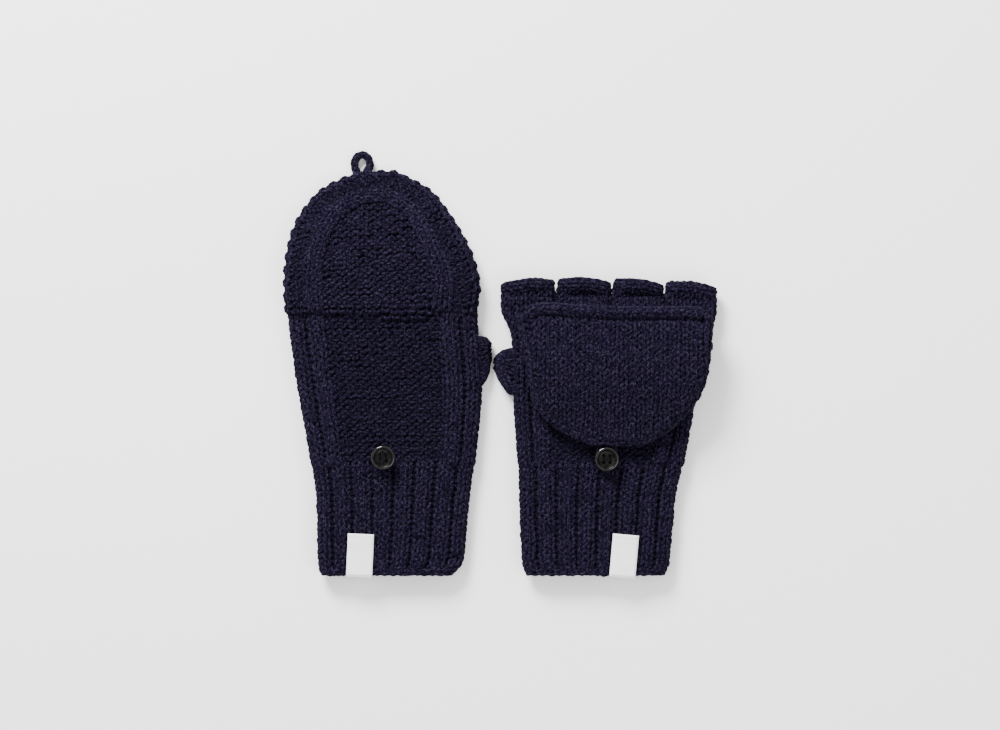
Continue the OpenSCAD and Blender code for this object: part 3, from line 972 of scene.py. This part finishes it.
low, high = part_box("right_button_loop")
button_low, button_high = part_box("right_button")
centre = (button_low.x + button_high.x) / 2
height = (low.z + high.z) / 2
spread = (high.x - low.x) / 2 - 0.0020
turn = np.linspace(math.pi, 2 * math.pi, 24)
arch = np.stack([centre + spread * np.cos(turn), low.y + 0.0020 + spread + spread * np.sin(turn),
                 np.full(24, height)], -1)
legs = np.array([[centre + foot * spread, high.y + 0.002, height] for foot in (-0.8, 0.8)])
loop_line = np.concatenate([legs[:1], arch, legs[1:]])
loop = Knitting()
knit(loop, round_line(loop_line, 0.0010), [(1, 1)] * 2, int(length_of(loop_line) / CORD_STITCH),
     radius=0.00095, depth=0.0003, relief=0, samples=12, sides=8)
loop.become("right_button_loop_cord", "right_cap", wool, "knit", "right_button_loop")


# The buttons. Round four-hole coat buttons turned from black horn-like resin, polished, with
# a raised rounded rim and a shallow dish in the middle.
def polish_resin():
    """Matt and nearly black in the dish, glossy on the rim"""
    resin = Finish("black_resin", None, Coat_Roughness=0.06, Specular_IOR_Level=0.06)
    place = resin.node("TexCoord", {}, {}, 3)
    cloud = resin.node("TexNoise", {}, {"Vector": place, "Scale": 420.0, "Detail": 3.0})
    scratch = resin.node("TexNoise", {}, {"Vector": place, "Scale": 2600.0, "Detail": 2.0})
    out, _ = resin.chart("turned")
    rim = resin.stretch(out, 0.56, 0.66)
    resin.set("Base Color", resin.mix(
        resin.stretch(cloud, 0.4, 0.75), (0.0010, 0.0010, 0.0012), (0.0070, 0.0066, 0.0060)))
    resin.set("Roughness", 0.34 - rim * 0.20 + resin.stretch(cloud, 0.35, 0.8) * 0.10)
    resin.set("Coat Weight", rim * 0.62 + 0.05 - resin.stretch(scratch, 0.5, 0.8) * 0.06)
    resin.bump(cloud * 0.6 + scratch * 0.4, 0.25, 0.00006)
    return resin.material


resin = polish_resin()
BUTTON_PROFILE = [(0, 0), (6.2, 0), (6.9, 0.25), (7.2, 0.8), (7.25, 1.5), (7.12, 2.05),
                  (6.75, 2.42), (6.25, 2.58), (5.75, 2.50), (5.35, 2.12), (5.10, 1.70),
                  (4.85, 1.55), (4.6, 1.64), (4.2, 1.84), (3.0, 1.82), (0, 1.80)]
HOLE_RADIUS, HOLE_OFF = 0.00095, 0.0019
HOLES = [(x, y) for x in (-HOLE_OFF, HOLE_OFF) for y in (-HOLE_OFF, HOLE_OFF)]


def new_object(name, form):
    """An object in the scene from a bmesh"""
    mesh = bpy.data.meshes.new(name)
    form.to_mesh(mesh)
    form.free()
    made = bpy.data.objects.new(name, mesh)
    bpy.context.scene.collection.objects.link(made)
    return made


for side in ("left", "right"):
    low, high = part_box(f"{side}_button")
    centre = Vector(((low.x + high.x) / 2, (low.y + high.y) / 2, low.z))
    shell = bmesh.new()
    ring = [shell.verts.new((r / 1000, 0, z / 1000)) for r, z in BUTTON_PROFILE]
    edges = [shell.edges.new(pair) for pair in zip(ring, ring[1:])]
    bmesh.ops.spin(shell, geom=ring + edges, axis=(0, 0, 1), cent=(0, 0, 0), angle=2 * math.pi,
                   steps=72, use_duplicate=False)
    bmesh.ops.remove_doubles(shell, verts=shell.verts, dist=1e-6)
    bmesh.ops.recalc_face_normals(shell, faces=shell.faces)
    disc = new_object(f"{side}_button_disc", shell)
    drill = bmesh.new()
    for x, y in HOLES:
        made = bmesh.ops.create_cone(drill, cap_ends=True, segments=24, radius1=HOLE_RADIUS,
                                     radius2=HOLE_RADIUS, depth=0.01)
        bmesh.ops.translate(drill, verts=made["verts"], vec=(x, y, 0.001))
    drills = new_object("drill", drill)
    cut = disc.modifiers.new("holes", "BOOLEAN")
    cut.operation, cut.solver, cut.object = "DIFFERENCE", "EXACT", drills
    bpy.context.view_layer.update()
    mesh = bpy.data.meshes.new_from_object(
        disc.evaluated_get(bpy.context.evaluated_depsgraph_get()))
    disc.modifiers.clear()
    disc.data = mesh
    bpy.data.objects.remove(drills)
    turned = mesh.uv_layers.new(name="turned")
    for corner in mesh.loops:
        spot = mesh.vertices[corner.vertex_index].co
        turned.data[corner.index].uv = (spot.to_2d().length * 100, spot.z * 100)
    mesh.materials.clear()
    mesh.materials.append(resin)
    mesh.shade_smooth()
    mesh.set_sharp_from_angle(angle=math.radians(50))
    mesh.transform(Matrix.Translation(centre))
    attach(disc, f"{side}_button")
    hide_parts(f"{side}_button")


# The sewing thread. Strong black polyester thread, two passes side by side between each
# pair of holes, down through them, and wound round below to make the shank.
def spin_thread():
    thread = Finish("black_thread", 0.7, Specular_IOR_Level=0.05)
    along, around = thread.chart("yarn")
    ply = ((along / 0.0011 + around * 2) * math.pi).maths("SINE").maths("ABSOLUTE")
    # Painted shade: darker in the grooves between the plies, lighter on their crests
    thread.set("Base Color", thread.mix(ply, (0.0002, 0.0002, 0.0003), (0.0016, 0.0015, 0.0018)))
    thread.bump(ply, 0.8, 0.00012)
    return thread.material


sewing_thread = spin_thread()
THREAD_RADIUS = 0.00020
PASS_GAP = 0.00021
SHANK_TURNS, SHANK_STEPS, SHANK_RADIUS, SHANK_CORE = 8, 20, 0.00135, 0.0011
for side in ("left", "right"):
    low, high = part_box(f"{side}_button")
    centre = np.array([(low.x + high.x) / 2, (low.y + high.y) / 2, 0])
    dish = low.z + 0.0018
    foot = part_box(f"{side}_button_thread")[0].z
    sewn = Knitting()
    for x in (-HOLE_OFF, HOLE_OFF):
        for off in (-PASS_GAP, PASS_GAP):
            t = np.linspace(-1, 1, 15)
            y = np.clip(t * 1.25, -1, 1) * (HOLE_OFF + 0.0002)
            down = np.clip(abs(t) - 0.8, 0, 1) * 0.018
            z = dish + THREAD_RADIUS + 0.00028 * (1 - abs(t)) - down
            bar = np.stack([x + off + 0 * t, y, z], -1) + centre
            sewn.tube(bar, np.tile([0, 0, 1.0], (15, 1)), THREAD_RADIUS, 8, np.ones(15))
    t = np.linspace(0, SHANK_TURNS, SHANK_TURNS * SHANK_STEPS + 1)
    rise = t / SHANK_TURNS
    wound = np.stack([SHANK_RADIUS * np.cos(2 * math.pi * t),
                      SHANK_RADIUS * np.sin(2 * math.pi * t),
                      foot + 0.0002 + rise * (low.z - foot - 0.0003)], -1) + centre
    sewn.tube(wound, np.tile([0, 0, 1.0], (len(t), 1)), THREAD_RADIUS, 8, np.ones(len(t)))
    core = np.stack([0 * t, 0 * t, foot + rise * (low.z + 0.0004 - foot)], -1)[::8] + centre
    sewn.tube(core, np.tile([0, 1.0, 0], (len(core), 1)), SHANK_CORE, 12, np.ones(len(core)))
    for x, y in HOLES:
        t = np.linspace(0, 1, 9)[:, None]
        strand = centre + (1 - t) * [0, 0, low.z - 0.0006] + t * [x, y, low.z + 0.0016]
        sewn.tube(strand, np.tile([1.0, 0, 0.2], (9, 1)), THREAD_RADIUS * 1.6, 8, np.ones(9))
    sewn.become(f"{side}_button_thread_sewn", f"{side}_button", sewing_thread, "thread",
                f"{side}_button_thread")


# The labels. A blank white satin-woven tape, folded round the open edge of the cuff's back,
# and the two lines of fine white stitches that hold its outer leaf down.
def weave_tape():
    tape = Finish("white_tape", 0.62, Sheen_Weight=0.15)
    across, along = tape.chart("yarn")
    warp = (across * (math.pi / 0.00042)).maths("SINE")
    weft = (along * (math.pi / 0.00036)).maths("SINE")
    cloth = (warp * weft).maths("ABSOLUTE")
    place = tape.node("TexCoord", {}, {}, 3)
    cloud = tape.node("TexNoise", {}, {"Vector": place, "Scale": 240.0, "Detail": 3.0})
    tape.set("Base Color", tape.mix(cloth * 0.35 + tape.stretch(cloud, 0.35, 0.8) * 0.4,
                                    (0.86, 0.86, 0.87), (0.72, 0.72, 0.745)))
    tape.bump(cloth * 0.7 + cloud * 0.3, 0.5, 0.00010)
    return tape.material


tape = weave_tape()
white_thread = Finish("white_stitching", 0.7, Base_Color=(0.60, 0.60, 0.63, 1))
twine, _ = white_thread.chart("yarn")
white_thread.bump((twine * (math.pi / 0.0005)).maths("SINE"), 0.6, 0.00008)
TAPE_WIDTH, LEAF = 0.0156, 0.0260
TAPE_ACROSS = 9
FOLD, FOLD_REACH = 0.0012, 0.0011
STITCHES_PER_ROW, STITCH_GAP, STITCH_RADIUS = 6, 0.0022, 0.00016
TAPE_ANGLE = {"left": -2.5, "right": -5.0}
for side in ("left", "right"):
    low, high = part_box(f"{side}_label")
    angle = math.radians(TAPE_ANGLE[side])
    tilt = math.sin(-angle)
    outer, inner = high.z - 0.0002, low.z - 0.0020
    radius = (outer - inner) / 2
    origin = ((low.x + high.x) / 2 - LEAF / 2 * tilt, low.y + TAPE_WIDTH / 2 * tilt + 0.0003)

    def laid(x, y, z):
        """Points on the tape, turned to the angle that it is sewn on at"""
        return np.stack([origin[0] + x * math.cos(angle) - y * math.sin(angle),
                         origin[1] + x * math.sin(angle) + y * math.cos(angle), z], -1)

    t = np.linspace(0, 1, 21)
    bend = np.linspace(-math.pi / 2, math.pi / 2, 11)[1:-1]
    y = np.concatenate([LEAF - t * (LEAF - FOLD), FOLD - FOLD_REACH * np.cos(bend),
                        FOLD + t * (LEAF - FOLD)])
    z = np.concatenate([np.full(21, inner), inner + radius + radius * np.sin(bend),
                        outer + 0.00035 * np.sin(t * 9) * t + 0.0005 * ramp((t - 0.9) / 0.1)])
    grid_x, grid_y = np.meshgrid(np.linspace(-TAPE_WIDTH / 2, TAPE_WIDTH / 2, TAPE_ACROSS), y)
    grid_z = z[:, None] + 0.00018 * np.cos(grid_x / TAPE_WIDTH * 2 * math.pi)
    points = laid(grid_x, grid_y, grid_z)
    run = run_of(np.stack([y, z], -1))
    flat_map = np.stack([grid_x, np.tile(run[:, None], (1, TAPE_ACROSS))], -1).reshape(-1, 2)
    quads = squares(len(y), TAPE_ACROSS)
    label = Knitting()
    label.add(points, np.ones(grid_x.size), quads, flat_map[quads])
    piece = label.become(f"{side}_label_tape", f"{side}_hand", tape, "label", f"{side}_label")
    thick = piece.modifiers.new("tape_thickness", "SOLIDIFY")
    thick.thickness, thick.offset = 0.0005, 0

    stitches = Knitting()
    t = np.linspace(-1, 1, 9)
    for row_y in (0.0016, LEAF - 0.0016):
        for k in range(STITCHES_PER_ROW):
            off = (k - 2.5) * STITCH_GAP
            line = laid(off + 0.0008 * t, row_y + 0 * t, outer + 0.0004 + 0.00025 * (1 - t * t))
            stitches.tube(line, np.tile([0, 0, 1.0], (9, 1)), STITCH_RADIUS, 8, np.ones(9))
    stitches.become(f"{side}_label_stitching", f"{side}_hand", white_thread.material,
                    "label_thread", f"{side}_label_stitches")
